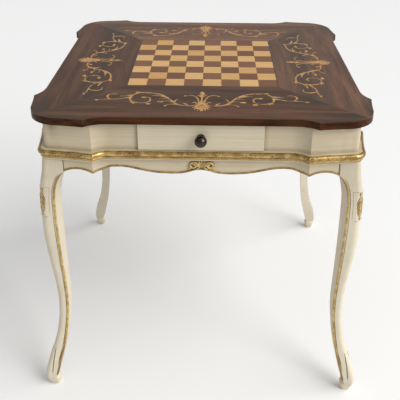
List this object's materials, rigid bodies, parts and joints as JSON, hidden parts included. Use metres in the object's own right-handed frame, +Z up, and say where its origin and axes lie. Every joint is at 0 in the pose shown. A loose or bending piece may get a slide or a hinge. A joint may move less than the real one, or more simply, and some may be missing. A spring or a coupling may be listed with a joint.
{
  "type": "chess table",
  "caption": "Square chess table with a serpentine inlaid top, a waist moulding, cabriole legs and a drawer in the front frieze.",
  "frame": {"origin": "on the floor under the middle of the top", "axes": "+Z up, -Y out of the front with the drawer, +X to the right of someone facing the front"},
  "size_m": [0.8158, 0.8158, 0.78],
  "materials": {
    "dark_bronze": "polished dark bronze",
    "fibreboard_core": "raw",
    "gilded_wood": "distressed antique gilding",
    "maple_veneer": "satin lacquer",
    "painted_wood": "glazed antique cream paint, gilded beads",
    "plain_wood": "sanded",
    "plywood": "sanded",
    "steel": "zinc plated",
    "walnut_solid": "satin lacquer",
    "walnut_veneer": "satin lacquer"
  },
  "bodies": {
    "table": {"back_rail": "painted_wood", "board_squares_dark": "walnut_veneer", "board_squares_light": "maple_veneer", "board_stringing": "walnut_veneer", "border_veneer_back": "walnut_veneer", "border_veneer_front": "walnut_veneer", "border_veneer_left": "walnut_veneer", "border_veneer_right": "walnut_veneer", "cartouche_back": "gilded_wood", "cartouche_front": "gilded_wood", "cartouche_left": "gilded_wood", "cartouche_right": "gilded_wood", "corner_block_back_left": "plain_wood", "corner_block_back_right": "plain_wood", "corner_block_front_left": "plain_wood", "corner_block_front_right": "plain_wood", "drawer_guide_left": "plain_wood", "drawer_guide_right": "plain_wood", "drawer_kicker_left": "plain_wood", "drawer_kicker_right": "plain_wood", "drawer_runner_left": "plain_wood", "drawer_runner_right": "plain_wood", "drawer_stops": "plain_wood", "front_apron_rail": "painted_wood", "front_frieze_left": "painted_wood", "front_frieze_right": "painted_wood", "front_top_rail": "painted_wood", "leg_back_left": "painted_wood", "leg_back_right": "painted_wood", "leg_front_left": "painted_wood", "leg_front_right": "painted_wood", "post_screws": "steel", "scroll_inlay_back": "maple_veneer", "scroll_inlay_front": "maple_veneer", "scroll_inlay_left": "maple_veneer", "scroll_inlay_right": "maple_veneer", "side_rail_left": "painted_wood", "side_rail_right": "painted_wood", "top_core": "fibreboard_core", "top_lipping_back": "walnut_solid", "top_lipping_front": "walnut_solid", "top_lipping_left": "walnut_solid", "top_lipping_right": "walnut_solid", "top_screws": "steel", "waist_moulding_back": "gilded_wood", "waist_moulding_front": "gilded_wood", "waist_moulding_left": "gilded_wood", "waist_moulding_right": "gilded_wood"},
    "drawer": {"drawer_front": "painted_wood", "drawer_side_left": "plain_wood", "drawer_side_right": "plain_wood", "drawer_bottom": "plywood", "drawer_back": "plain_wood", "drawer_catch": "plain_wood", "drawer_knob": "dark_bronze", "knob_screw": "steel"}
  },
  "joints": [
    {"name": "drawer_slide", "type": "slide", "parent": "table", "child": "drawer", "axis": [0, -1, 0], "range_m": [0, 0.3635]}
  ]
}
